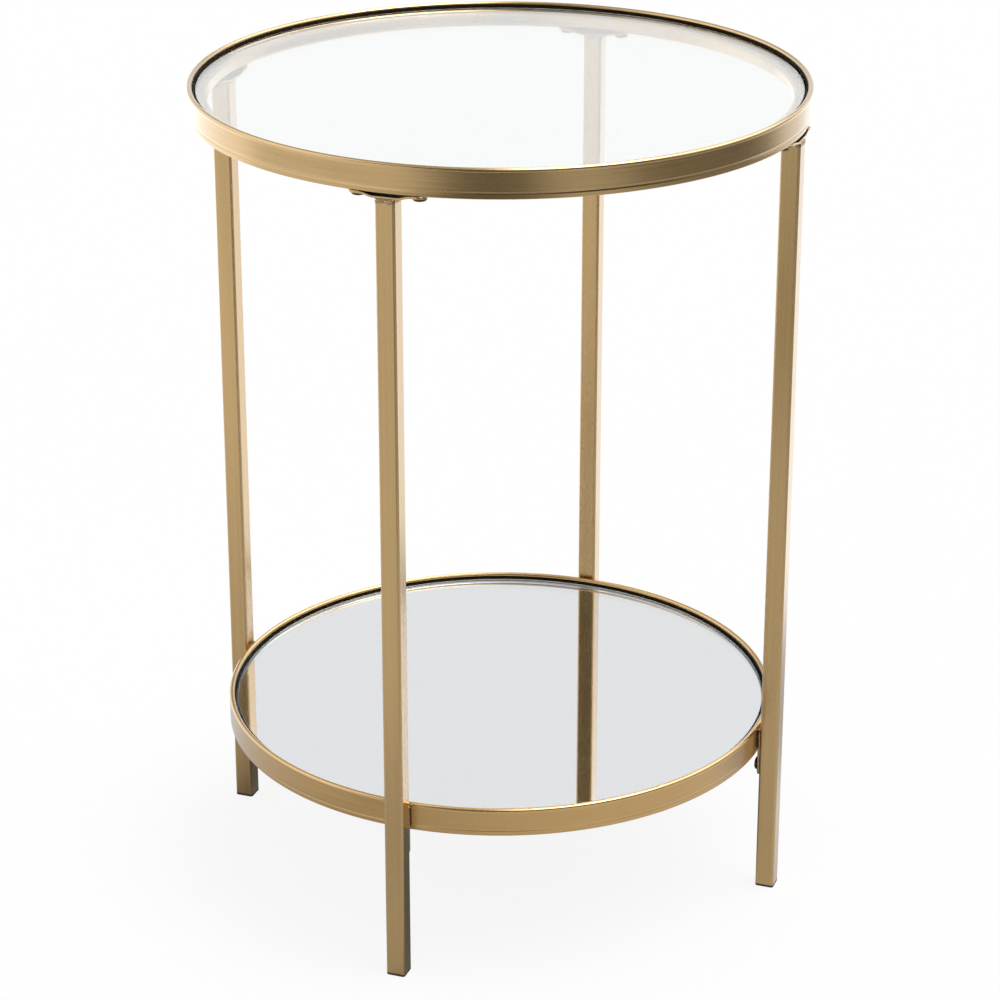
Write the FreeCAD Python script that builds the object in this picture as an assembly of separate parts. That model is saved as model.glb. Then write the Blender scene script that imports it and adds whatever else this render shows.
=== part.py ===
import FreeCAD, Part
import math
import os

# Round two-tier side table: a rolled ring with a glass top, a smaller rolled ring
# with a mirror shelf, and four square tube legs that screw to both rings.
# Millimetres. The origin is on the floor under the centre of the table, +Z is up,
# and the four legs stand on the X and Y axes.

# Whole table
table_height = 550.0
ring_radius = 200.0
shelf_height = 121.0

# Stepped tube that both rings are rolled from
ring_width = 12.7
ring_wall = 1.2
ring_round = 2.2
lip_width = 3.6
ledge_height = 9.5

# Panes and the clear pads that they lie on
glass_thickness = 5.0
mirror_thickness = 5.0
pane_arris = 0.8
pane_recess = 3.5
pane_gap = 1.5
pad_diameter = 6.0
pad_thickness = 1.0
pad_bevel = 0.3
pad_turn = -21.0

# Square tube legs and the plugs in their feet
leg_size = 12.7
leg_wall = 1.2
leg_corner = 1.6
leg_inner_corner = 0.4
leg_proud = 0.5
plug_flange = 1.5
plug_height = 14.0
plug_wall = 1.4
plug_lead_in = 1.2
plug_taper = 0.7
plug_clearance = 0.15

# Pressed plates on the leg tops
plate_length = 50.0
plate_width = 14.5
plate_thickness = 1.5
plate_drop = 1.8
plate_corner = 3.5
plate_flat_margin = 0.6
plate_screw_margin = 5.5

# Tabs that hang the lower ring on the legs
tab_width = 12.0
tab_thickness = 1.5
tab_hang = 18.0
tab_corner = 3.5
tab_screw_drop = 11.2

# Button-head screws and the inserts that they turn into
screw_diameter = 5.0
screw_point = 0.5
head_diameter = 9.5
head_height = 2.75
head_rim = 0.5
head_crown_diameter = 4.6
head_land_margin = 0.5
socket_width = 3.0
socket_sides = 6
socket_depth = 1.5
hole_clearance = 0.25
insert_diameter = 7.0
insert_collar_diameter = 8.4
insert_collar_height = 1.8
insert_headroom = 1.3
insert_clearance = 0.05
thread_clearance = 0.1
thread_end = 0.5

# Heights and radii that follow from the sizes above
top_ring_height = ledge_height + pad_thickness + glass_thickness + pane_recess
lower_ring_height = ledge_height + pad_thickness + mirror_thickness + pane_recess
top_ring_bottom = table_height - top_ring_height
lower_ring_bottom = shelf_height - lower_ring_height
leg_outer = ring_radius + leg_proud
leg_centre = leg_outer - leg_size / 2
leg_inner = leg_outer - leg_size
leg_top = top_ring_bottom - plate_drop - plate_thickness
lower_ring_radius = leg_inner - tab_thickness
ring_middle = ring_radius - ring_width / 2
plate_screw_spacing = plate_length - 2 * plate_screw_margin
screw_line = math.sqrt(ring_middle ** 2 - (plate_screw_spacing / 2) ** 2)
shelf_screw_height = lower_ring_bottom - tab_screw_drop
insert_length = ledge_height - ring_wall - insert_headroom
screw_hole_radius = screw_diameter / 2 + hole_clearance
insert_hole_radius = insert_diameter / 2 + insert_clearance

# Turn of each leg about the table's axis, in degrees from +X
leg_turns = {"right": 0, "back": 90, "left": 180, "front": 270}

ORIGIN = FreeCAD.Vector(0, 0, 0)
OUT = FreeCAD.Vector(1, 0, 0)
SIDE = FreeCAD.Vector(0, 1, 0)
UP = FreeCAD.Vector(0, 0, 1)
QUARTER_TURN = 90
FULL_TURN = 360
SAME_POINT = 1e-6


def unit(vector):
    """Copy of a vector with length one."""
    return vector / vector.Length


def rounded_corner(before, here, after, radius):
    """Start, middle and end of the arc that rounds one corner of an outline."""
    back = unit(before - here)
    ahead = unit(after - here)
    half_angle = back.getAngle(ahead) / 2
    reach = radius / math.tan(half_angle)
    middle = here + unit(back + ahead) * (radius / math.sin(half_angle) - radius)
    return here + back * reach, middle, here + ahead * reach


def outline(corners, across, along, origin=ORIGIN):
    """Flat face inside corners given as (across, along, round), sharp where round is 0."""
    points = [origin + across * u + along * v for u, v, _ in corners]
    turns = []
    for index, (_, _, radius) in enumerate(corners):
        here = points[index]
        if radius > 0:
            following = points[(index + 1) % len(points)]
            turns.append(rounded_corner(points[index - 1], here, following, radius))
        else:
            turns.append((here,))
    edges = []
    for turn, following in zip(turns, turns[1:] + turns[:1]):
        if len(turn) > 1:
            edges.append(Part.Arc(*turn).toShape())
        if turn[-1].distanceToPoint(following[0]) > SAME_POINT:
            edges.append(Part.LineSegment(turn[-1], following[0]).toShape())
    return Part.Face(Part.Wire(edges))


def square(side, corner, height):
    """Flat square on a leg's centre line, with rounded corners, at one height."""
    half = side / 2
    corners = [(half, half, corner), (-half, half, corner), (-half, -half, corner), (half, -half, corner)]
    return outline(corners, OUT, SIDE, FreeCAD.Vector(leg_centre, 0, height))


def turned(face):
    """Solid of revolution about the table's axis."""
    return face.revolve(ORIGIN, UP, FULL_TURN)


def upright(radius, height, x, y, z):
    """Upright cylinder on a point."""
    return Part.makeCylinder(radius, height, FreeCAD.Vector(x, y, z), UP)


def around(shape, degrees):
    """Copy of a shape turned about the table's axis."""
    copy = shape.copy()
    copy.rotate(ORIGIN, UP, degrees)
    return copy


def ring(radius, bottom, top):
    """Rolled hoop of stepped tube: a round-topped lip outside, a ledge for the pane inside."""
    lip_inner = radius - lip_width
    inner = radius - ring_width
    ledge = bottom + ledge_height
    crest = lip_width / 2
    tube = turned(outline([
        (radius, bottom, ring_round),
        (radius, top, crest),
        (lip_inner, top, crest),
        (lip_inner, ledge, 0),
        (inner, ledge, ring_round),
        (inner, bottom, ring_round),
    ], OUT, UP))
    bore = turned(outline([
        (radius - ring_wall, bottom + ring_wall, 0),
        (radius - ring_wall, top - crest, 0),
        (lip_inner + ring_wall, top - crest, 0),
        (lip_inner + ring_wall, ledge - ring_wall, 0),
        (inner + ring_wall, ledge - ring_wall, 0),
        (inner + ring_wall, bottom + ring_wall, 0),
    ], OUT, UP))
    return tube.cut(bore)


def plate_screw_points():
    """Both screw places on the plate of the right-hand leg."""
    return [(screw_line, side * plate_screw_spacing / 2) for side in (-1, 1)]


def top_ring():
    """Top hoop, with a hole under it for each insert."""
    hoop = ring(ring_radius, top_ring_bottom, table_height)
    for degrees in leg_turns.values():
        for x, y in plate_screw_points():
            hole = upright(insert_hole_radius, insert_length, x, y, top_ring_bottom)
            hoop = hoop.cut(around(hole, degrees))
    return hoop


def lower_ring():
    """Lower hoop, which stands inside the legs."""
    return ring(lower_ring_radius, lower_ring_bottom, shelf_height)


def pane(hoop_radius, hoop_bottom, thickness):
    """Round pane inside a hoop's lip, with a ground arris on both edges."""
    radius = hoop_radius - lip_width - pane_gap
    seat = hoop_bottom + ledge_height + pad_thickness
    disc = upright(radius, thickness, 0, 0, seat)
    rims = [edge for edge in disc.Edges if isinstance(edge.Curve, Part.Circle)]
    return disc.makeChamfer(pane_arris, rims)


def pads(hoop_radius, hoop_bottom):
    """Clear pads on a hoop's ledge, one beside each leg."""
    pane_edge = hoop_radius - lip_width - pane_gap
    place = (hoop_radius - ring_width + pane_edge) / 2
    radius = pad_diameter / 2
    straight = pad_thickness - pad_bevel
    bevel = Part.makeCone(radius, radius - pad_bevel, pad_bevel, UP * straight, UP)
    pad = Part.makeCylinder(radius, straight).fuse(bevel).removeSplitter()
    pad.translate(FreeCAD.Vector(place, 0, hoop_bottom + ledge_height))
    return [around(pad, degrees + pad_turn) for degrees in leg_turns.values()]


def leg():
    """Right-hand leg: a square tube with an insert hole in its inner wall."""
    length = leg_top - plug_flange
    tube = square(leg_size, leg_corner, plug_flange).extrude(UP * length)
    bore = square(leg_size - 2 * leg_wall, leg_inner_corner, plug_flange).extrude(UP * length)
    hole_start = FreeCAD.Vector(leg_inner, 0, shelf_screw_height)
    hole = Part.makeCylinder(insert_hole_radius, insert_length, hole_start, OUT)
    return tube.cut(bore).cut(hole)


def foot_plug():
    """Plug in the right-hand leg's foot: a flange on the floor and a hollow tapered spigot."""
    side = leg_size - 2 * (leg_wall + plug_clearance)
    pocket_side = side - 2 * plug_wall
    straight = plug_height - plug_lead_in
    flange = square(leg_size, leg_corner, 0).extrude(UP * plug_flange)
    spigot = square(side, leg_inner_corner, plug_flange).extrude(UP * (straight - plug_flange))
    tip_side = side - 2 * plug_taper
    tip_wires = [
        square(side, leg_inner_corner, straight).OuterWire,
        square(tip_side, leg_inner_corner, plug_height).OuterWire,
    ]
    tip = Part.makeLoft(tip_wires, True, True)
    pocket = square(pocket_side, leg_inner_corner, plug_flange).extrude(UP * plug_height)
    return flange.fuse(spigot.fuse(tip).cut(pocket)).removeSplitter()


def pressed_edge(level):
    """Edges along one face of a plate: a land, a double bend down, the flat middle and back up."""
    edge = screw_line - plate_width / 2
    land = plate_screw_spacing / 2 - head_diameter / 2 - head_land_margin
    flat = leg_size / 2 + plate_flat_margin
    run = (land - flat) / 2
    fall = plate_drop / 2
    half_turn = math.atan2(fall, run)
    bend_radius = run / math.sin(2 * half_turn)
    bend_run = bend_radius * math.sin(half_turn)
    bend_fall = bend_radius * (1 - math.cos(half_turn))
    stations = [
        (plate_length / 2, 0),
        (land, 0),
        (land - bend_run, -bend_fall),
        (land - run, -fall),
        (flat + bend_run, bend_fall - plate_drop),
        (flat, -plate_drop),
    ]
    near = [FreeCAD.Vector(edge, -y, level + z) for y, z in stations]
    far = [FreeCAD.Vector(edge, y, level + z) for y, z in reversed(stations)]
    return [
        Part.LineSegment(near[0], near[1]).toShape(),
        Part.Arc(*near[1:4]).toShape(),
        Part.Arc(*near[3:6]).toShape(),
        Part.LineSegment(near[5], far[0]).toShape(),
        Part.Arc(*far[0:3]).toShape(),
        Part.Arc(*far[2:5]).toShape(),
        Part.LineSegment(far[4], far[5]).toShape(),
    ], near[0], far[5]


def leg_plate():
    """Plate on the right-hand leg's top: its ends lie on the ring, its middle is pressed down."""
    upper, upper_start, upper_end = pressed_edge(top_ring_bottom)
    under, under_start, under_end = pressed_edge(top_ring_bottom - plate_thickness)
    ends = [
        Part.LineSegment(upper_start, under_start).toShape(),
        Part.LineSegment(upper_end, under_end).toShape(),
    ]
    sheet = Part.Face(Part.Wire(Part.__sortEdges__(upper + under + ends)))
    depth = plate_drop + plate_thickness
    half_length = plate_length / 2
    half_width = plate_width / 2
    blank = outline([
        (-half_width, -half_length, plate_corner),
        (half_width, -half_length, plate_corner),
        (half_width, half_length, plate_corner),
        (-half_width, half_length, plate_corner),
    ], OUT, SIDE, FreeCAD.Vector(screw_line, 0, top_ring_bottom - depth))
    plate = sheet.extrude(OUT * plate_width).common(blank.extrude(UP * depth))
    for x, y in plate_screw_points():
        plate = plate.cut(upright(screw_hole_radius, depth, x, y, top_ring_bottom - depth))
    return plate


def shelf_tab():
    """Strip on the lower ring's outer face that hangs below it against the right-hand leg."""
    half = tab_width / 2
    top = shelf_height - lip_width / 2
    bottom = lower_ring_bottom - tab_hang
    strip = outline([
        (-half, bottom, tab_corner),
        (half, bottom, tab_corner),
        (half, top, 0),
        (-half, top, 0),
    ], SIDE, UP, OUT * lower_ring_radius).extrude(OUT * tab_thickness)
    hole_start = FreeCAD.Vector(lower_ring_radius, 0, shelf_screw_height)
    return strip.cut(Part.makeCylinder(screw_hole_radius, tab_thickness, hole_start, OUT))


def screw(grip):
    """Button-head screw along +Z with its head below the origin and a given grip."""
    shank = screw_diameter / 2
    head = head_diameter / 2
    crown = head_crown_diameter / 2
    length = grip + insert_length - thread_end
    rise = head_height - head_rim
    centre = (head ** 2 + head_rim ** 2 - crown ** 2 - head_height ** 2) / (2 * rise)
    dome_radius = math.hypot(head, head_rim + centre)
    dome_angle = (math.atan2(head, head_rim + centre) + math.atan2(crown, head_height + centre)) / 2
    dome = Part.Arc(
        FreeCAD.Vector(crown, 0, -head_height),
        FreeCAD.Vector(dome_radius * math.sin(dome_angle), 0, centre - dome_radius * math.cos(dome_angle)),
        FreeCAD.Vector(head, 0, -head_rim),
    ).toShape()
    stations = [
        (head, -head_rim),
        (head, 0),
        (shank, 0),
        (shank, length - screw_point),
        (shank - screw_point, length),
        (0, length),
        (0, -head_height),
        (crown, -head_height),
    ]
    points = [FreeCAD.Vector(r, 0, z) for r, z in stations]
    sides = [Part.LineSegment(a, b).toShape() for a, b in zip(points, points[1:])]
    body = turned(Part.Face(Part.Wire([dome] + sides)))
    corner = socket_width / 2 / math.cos(math.pi / socket_sides)
    turns = [2 * math.pi * step / socket_sides for step in range(socket_sides + 1)]
    rim = [FreeCAD.Vector(corner * math.cos(turn), corner * math.sin(turn), -head_height) for turn in turns]
    socket = Part.Face(Part.makePolygon(rim)).extrude(UP * socket_depth)
    return body.cut(socket)


def insert(wall):
    """Threaded insert along +Z, flush with the face of a wall and flared behind it."""
    barrel = Part.makeCylinder(insert_diameter / 2, insert_length)
    collar = Part.makeCylinder(insert_collar_diameter / 2, insert_collar_height, UP * wall, UP)
    bore = Part.makeCylinder(screw_diameter / 2 + thread_clearance, insert_length)
    return barrel.fuse(collar).cut(bore)


def on_every_leg(shape):
    """Copies of a right-hand piece, one for each leg."""
    return [around(shape, degrees) for degrees in leg_turns.values()]


def under_top_ring(shape, height):
    """Copies of an upright fastener at every plate screw, at one height."""
    copies = []
    for x, y in plate_screw_points():
        placed = shape.copy()
        placed.translate(FreeCAD.Vector(x, y, height))
        copies += on_every_leg(placed)
    return copies


def behind_shelf_tabs(shape, radius):
    """Copies of an upright fastener laid outwards at every tab screw."""
    placed = shape.copy()
    placed.rotate(ORIGIN, SIDE, QUARTER_TURN)
    placed.translate(FreeCAD.Vector(radius, 0, shelf_screw_height))
    return on_every_leg(placed)


def main():
    """Build every node and write it to its own file."""
    nodes = {
        "top_ring": top_ring(),
        "lower_ring": lower_ring(),
        "glass_top": pane(ring_radius, top_ring_bottom, glass_thickness),
        "mirror_shelf": pane(lower_ring_radius, lower_ring_bottom, mirror_thickness),
        "glass_pads": Part.makeCompound(pads(ring_radius, top_ring_bottom)),
        "mirror_pads": Part.makeCompound(pads(lower_ring_radius, lower_ring_bottom)),
        "top_ring_screws": Part.makeCompound(
            under_top_ring(screw(plate_thickness), top_ring_bottom - plate_thickness)
        ),
        "top_ring_inserts": Part.makeCompound(under_top_ring(insert(ring_wall), top_ring_bottom)),
        "shelf_screws": Part.makeCompound(behind_shelf_tabs(screw(tab_thickness), lower_ring_radius)),
        "leg_inserts": Part.makeCompound(behind_shelf_tabs(insert(leg_wall), leg_inner)),
    }
    leg_pieces = {"leg": leg(), "leg_plate": leg_plate(), "shelf_tab": shelf_tab(), "foot_plug": foot_plug()}
    for piece, shape in leg_pieces.items():
        for place, degrees in leg_turns.items():
            nodes[f"{piece}_{place}"] = around(shape, degrees)
    os.makedirs("parts", exist_ok=True)
    for name, shape in nodes.items():
        shape.exportStep(f"parts/{name}.step")
        print(name, len(shape.Solids), round(shape.Volume, 1), shape.isValid())


main()
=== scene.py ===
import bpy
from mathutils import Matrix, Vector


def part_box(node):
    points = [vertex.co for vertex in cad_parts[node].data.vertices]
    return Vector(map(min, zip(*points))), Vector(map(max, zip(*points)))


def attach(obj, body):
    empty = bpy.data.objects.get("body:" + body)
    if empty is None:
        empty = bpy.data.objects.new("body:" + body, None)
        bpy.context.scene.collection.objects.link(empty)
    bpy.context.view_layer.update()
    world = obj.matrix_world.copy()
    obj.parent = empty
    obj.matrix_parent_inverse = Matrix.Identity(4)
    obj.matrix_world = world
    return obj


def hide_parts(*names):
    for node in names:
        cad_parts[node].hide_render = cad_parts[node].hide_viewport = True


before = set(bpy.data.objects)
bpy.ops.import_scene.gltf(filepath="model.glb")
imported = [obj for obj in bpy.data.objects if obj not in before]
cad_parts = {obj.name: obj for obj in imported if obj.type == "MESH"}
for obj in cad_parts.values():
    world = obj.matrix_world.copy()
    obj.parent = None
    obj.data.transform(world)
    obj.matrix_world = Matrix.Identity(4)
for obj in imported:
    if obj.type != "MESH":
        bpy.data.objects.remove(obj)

"""Looks of a round two-tier side table: rolled hoops, loose panes, square tube legs and their fixings.

Metres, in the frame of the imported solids: the origin is on the floor under the table's axis, +Z is up, and
the four legs stand on the X and Y axes. Each sub-assembly is a class that works out its surfaces from the
solids' boxes, and each finish is a class that works out its nodes.
"""

import logging
import math
from dataclasses import dataclass, field, replace
from enum import Enum
from typing import Any, Sequence

import bpy
import numpy as np
from mathutils import Vector

LOG = logging.getLogger("side_table")
MM = 0.001
TURN = 2 * math.pi
MARK = "mark"
WHITE = (1.0, 1.0, 1.0, 1.0)
BEAD_STEPS = 14
Array = np.ndarray
Colour = tuple[float, float, float, float]
Edge = tuple[float, float]


class Side(Enum):
    """Places of the legs, each with its turn about the table's axis from +X."""

    RIGHT = 0.0
    BACK = 0.25 * TURN
    LEFT = 0.5 * TURN
    FRONT = 0.75 * TURN

    @property
    def node(self) -> str:
        """The word that ends this leg's node names."""
        return self.name.lower()


class Grain(Enum):
    """Ways that the fine lines of a finish can run."""

    AROUND = "around"
    UPRIGHT = "upright"
    NONE = "none"


@dataclass
class Surface:
    """A shape as arrays, with one mark per point that its finish may read.

    Attributes:
        points: Places, one row per point.
        quads: Faces of four points.
        tris: Faces of three points.
        marks: One value per point: 0 on a plain face, up to 1 where an edge is rounded, ground or rubbed or
        a back is painted, and down to -1 where a face gets painted shade.
    """

    points: Array
    quads: Array
    tris: Array = field(default_factory=lambda: np.zeros((0, 3), int))
    marks: Array | None = None

    def __post_init__(self) -> None:
        """Gives a shape without marks a mark of zero all over."""
        if self.marks is None:
            self.marks = np.zeros(len(self.points))

    def turned(self, angle: float) -> "Surface":
        """A copy turned about the Z axis."""
        cos, sin = math.cos(angle), math.sin(angle)
        matrix = np.array([[cos, sin, 0.0], [-sin, cos, 0.0], [0.0, 0.0, 1.0]])
        return replace(self, points=self.points @ matrix)

    def laid_outwards(self) -> "Surface":
        """A copy whose +Z becomes +X."""
        x, y, z = self.points.T
        return replace(self, points=np.stack([z, y, -x], axis=1))

    def moved(self, offset: Sequence[float]) -> "Surface":
        """A copy moved by an offset."""
        return replace(self, points=self.points + np.asarray(offset))

    def volume(self) -> float:
        """Signed volume, which is positive where the faces point outwards."""
        halves = np.concatenate([self.quads[:, [0, 1, 2]], self.quads[:, [0, 2, 3]], self.tris])
        a, b, c = (self.points[halves[:, k]] for k in range(3))
        return float(np.einsum("ij,ij->", a, np.cross(b, c)) / 6)

    def outward(self) -> "Surface":
        """The same shape with its faces turned to point outwards."""
        if self.volume() >= 0:
            return self
        return replace(self, quads=self.quads[:, ::-1], tris=self.tris[:, ::-1])


def joined(shapes: Sequence[Surface]) -> Surface:
    """One surface that holds several.

    Args:
        shapes: The surfaces, which stay apart from each other.

    Returns:
        Their points, faces and marks, one after the other.
    """
    starts = np.cumsum([0] + [len(shape.points) for shape in shapes[:-1]])
    return Surface(
        np.concatenate([shape.points for shape in shapes]),
        np.concatenate([shape.quads + start for shape, start in zip(shapes, starts)]),
        np.concatenate([shape.tris + start for shape, start in zip(shapes, starts)]),
        np.concatenate([shape.marks for shape in shapes]),
    )


def grid_quads(rows: int, columns: int, wrap_rows: bool) -> Array:
    """Faces of a grid whose columns close into a ring.

    Args:
        rows: Number of rows of points.
        columns: Number of points in a row.
        wrap_rows: True if the last row meets the first.

    Returns:
        Four point numbers per face.
    """
    row = np.arange(rows if wrap_rows else rows - 1)[:, None]
    column = np.arange(columns)[None, :]
    here, after = row * columns, (row + 1) % rows * columns
    beside = (column + 1) % columns
    faces = [here + column, here + beside, after + beside, after + column]
    return np.stack(np.broadcast_arrays(*faces), axis=-1).reshape(-1, 4)


def corner_arcs(corners: Array, radii: Array, steps: int, guard: float) -> tuple[Array, Array]:
    """Arcs that round the corners of a closed outline.

    An arc's centre lies on its corner's bisector, at the radius over the sine of half the corner's angle.
    Its points turn evenly from one tangent point to the other. A guard point lies on the run beyond each end
    of the arc, which keeps the runs flat under smooth shading.

    Args:
        corners: One (u, v) row per corner.
        radii: One radius per corner.
        steps: Points along each arc.
        guard: Distance of a guard point from its arc.

    Returns:
        Points by corner and step, and their marks, 1 on the arcs and 0 at the guards.
    """
    before = np.roll(corners, 1, axis=0) - corners
    after = np.roll(corners, -1, axis=0) - corners
    before = before / np.linalg.norm(before, axis=1, keepdims=True)
    after = after / np.linalg.norm(after, axis=1, keepdims=True)
    half = np.arccos(np.clip((before * after).sum(axis=1), -1.0, 1.0)) / 2
    bisector = (before + after) / np.linalg.norm(before + after, axis=1, keepdims=True)
    centre = corners + bisector * (radii / np.sin(half))[:, None]
    start = corners + before * (radii / np.tan(half))[:, None]
    end = corners + after * (radii / np.tan(half))[:, None]
    first = np.arctan2(*(start - centre).T[::-1])
    last = np.arctan2(*(end - centre).T[::-1])
    sweep = (last - first + math.pi) % TURN - math.pi
    angle = first[:, None] + sweep[:, None] * np.linspace(0.0, 1.0, steps)
    arcs = centre[:, None] + radii[:, None, None] * np.stack([np.cos(angle), np.sin(angle)], axis=-1)
    guards = (start + before * guard)[:, None], (end + after * guard)[:, None]
    points = np.concatenate([guards[0], arcs, guards[1]], axis=1)
    marks = np.ones(points.shape[:2])
    marks[:, [0, -1]] = 0.0
    return points, marks


def rounded(
    corners: Sequence,
    radii: float | Sequence[float],
    steps: int = 8,
    closed: bool = True,
    guard: float = 0.05 * MM,
) -> tuple[Array, Array]:
    """Outline with rounded corners.

    Args:
        corners: One (u, v) pair per corner, the ends of an open outline among them.
        radii: One radius for all corners, or one each; those of open ends aren't used.
        steps: Points along each arc.
        closed: True if the last corner leads back to the first.
        guard: Distance of a guard point from its arc.

    Returns:
        One row per point, and the marks of corner_arcs, with 0 at open ends.
    """
    corners = np.asarray(corners, float)
    points, marks = corner_arcs(corners, np.broadcast_to(radii, len(corners)).astype(float), steps, guard)
    if closed:
        return points.reshape(-1, 2), marks.reshape(-1)
    inner, inner_marks = points[1:-1].reshape(-1, 2), marks[1:-1].reshape(-1)
    return np.concatenate([corners[:1], inner, corners[-1:]]), np.concatenate([[0.0], inner_marks, [0.0]])


def rectangle(width: float, height: float) -> list[Edge]:
    """Corners of a rectangle about the origin."""
    u, v = width / 2, height / 2
    return [(u, -v), (u, v), (-u, v), (-u, -v)]


def spun_loop(loop: Array, marks: Array, angles: Array, swell: Array) -> Surface:
    """Hoop: a closed (radius, height) outline turned about the Z axis.

    The outline first grows by the swell away from its own middle. A point of it at radius r and height z
    then goes to (r cos a, r sin a, z) at each angle a.

    Args:
        loop: One (radius, height) row per point.
        marks: One mark per point.
        angles: The angles, in rising order over one turn.
        swell: One length per angle.

    Returns:
        The closed surface.
    """
    away = loop - (loop.min(axis=0) + loop.max(axis=0)) / 2
    away = away / np.linalg.norm(away, axis=1, keepdims=True)
    section = loop + away * swell[:, None, None]
    radius, height = section[..., 0], section[..., 1]
    turn = angles[:, None]
    points = np.stack([radius * np.cos(turn), radius * np.sin(turn), height], axis=-1).reshape(-1, 3)
    quads = grid_quads(len(angles), len(loop), True)
    return Surface(points, quads, marks=np.tile(marks, len(angles))).outward()


def lofted(
    sections: Array, marks: Array, poles: Array | None = None, pole_marks: Edge = (0.0, 0.0)
) -> Surface:
    """Solid through a stack of closed sections, with a fan of faces from a pole over each end.

    Args:
        sections: Points by section and step, all with as many steps.
        marks: Marks by section and step.
        poles: The two poles, or None for the middles of the end sections.
        pole_marks: The poles' marks.

    Returns:
        The closed surface.
    """
    rows, columns = sections.shape[:2]
    if poles is None:
        poles = sections[[0, -1]].mean(axis=1)
    column = np.arange(columns)
    beside = (column + 1) % columns
    last = (rows - 1) * columns
    tris = np.concatenate([
        np.stack([np.full(columns, rows * columns), beside, column], axis=1),
        np.stack([np.full(columns, rows * columns + 1), last + column, last + beside], axis=1),
    ])
    points = np.concatenate([sections.reshape(-1, 3), poles])
    all_marks = np.concatenate([marks.reshape(-1), pole_marks])
    return Surface(points, grid_quads(rows, columns, False), tris, all_marks).outward()


def spun_rows(radius: Array, height: Array, marks: Array, top: float, bottom: float) -> Surface:
    """Solid about the Z axis from rows of points, closed by a pole at each end.

    The point of row i and column j lies at angle 2 pi j / n, at the radius and height of that row and
    column, where n is the number of columns.

    Args:
        radius: Radii by row and column.
        height: Heights by row and column.
        marks: Marks by row and column.
        top: Height of the pole before the first row.
        bottom: Height of the pole after the last row.

    Returns:
        The closed surface.
    """
    columns = radius.shape[1]
    turn = TURN * np.arange(columns) / columns
    sections = np.stack([radius * np.cos(turn), radius * np.sin(turn), height], axis=-1)
    poles = np.array([[0.0, 0.0, top], [0.0, 0.0, bottom]])
    return lofted(sections, marks, poles, (marks[0].mean(), marks[-1].mean()))


def spun_run(run: Array, marks: Array, columns: int) -> Surface:
    """Solid of revolution: an open (radius, height) outline from pole to pole, turned about the Z axis.

    Args:
        run: One (radius, height) row per point; the first and last lie on the axis.
        marks: One mark per point.
        columns: Points round the axis.

    Returns:
        The closed surface.
    """
    rows = np.column_stack([run, marks])[1:-1, :, None]
    radius, height, row_marks = np.broadcast_to(rows, (*rows.shape[:2], columns)).transpose(1, 0, 2)
    return spun_rows(radius, height, row_marks, run[0, 1], run[-1, 1])


def bead(path: Array, out: Array, down: Array, radius: Array) -> Surface:
    """Weld bead: an oval section of changing size carried along a closed path.

    The section's point at angle b lies at path + radius (cos b out + sin b down), so the lengths of out and
    down set how flat the oval is.

    Args:
        path: One row per station of the closed path.
        out: One row per station, across the path.
        down: One row per station, across the path and across out.
        radius: One radius per station.

    Returns:
        The closed surface.
    """
    turn = TURN * np.arange(BEAD_STEPS) / BEAD_STEPS
    spread = np.cos(turn)[None, :, None] * out[:, None] + np.sin(turn)[None, :, None] * down[:, None]
    points = path[:, None] + radius[:, None, None] * spread
    return Surface(points.reshape(-1, 3), grid_quads(len(path), BEAD_STEPS, True)).outward()


class Shade:
    """A value socket that Python arithmetic can use: each operation adds a Math node."""

    def __init__(self, bench: "NodeBench", socket: bpy.types.NodeSocket) -> None:
        """Wraps one output socket of a bench."""
        self.bench = bench
        self.socket = socket

    def __add__(self, other: "Shade | float") -> "Shade":
        """Sum."""
        return self.bench.math("ADD", self, other)

    def __radd__(self, other: float) -> "Shade":
        """Sum with a number first."""
        return self.bench.math("ADD", other, self)

    def __sub__(self, other: "Shade | float") -> "Shade":
        """Difference."""
        return self.bench.math("SUBTRACT", self, other)

    def __rsub__(self, other: float) -> "Shade":
        """Difference with a number first."""
        return self.bench.math("SUBTRACT", other, self)

    def __mul__(self, other: "Shade | float") -> "Shade":
        """Product."""
        return self.bench.math("MULTIPLY", self, other)

    def __rmul__(self, other: float) -> "Shade":
        """Product with a number first."""
        return self.bench.math("MULTIPLY", other, self)

    def __truediv__(self, other: "Shade | float") -> "Shade":
        """Quotient."""
        return self.bench.math("DIVIDE", self, other)

    def to(self, level: float, mask: "Shade") -> "Shade":
        """This value where the mask is 0, and the level where it is 1."""
        return self + (level - self) * mask


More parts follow.
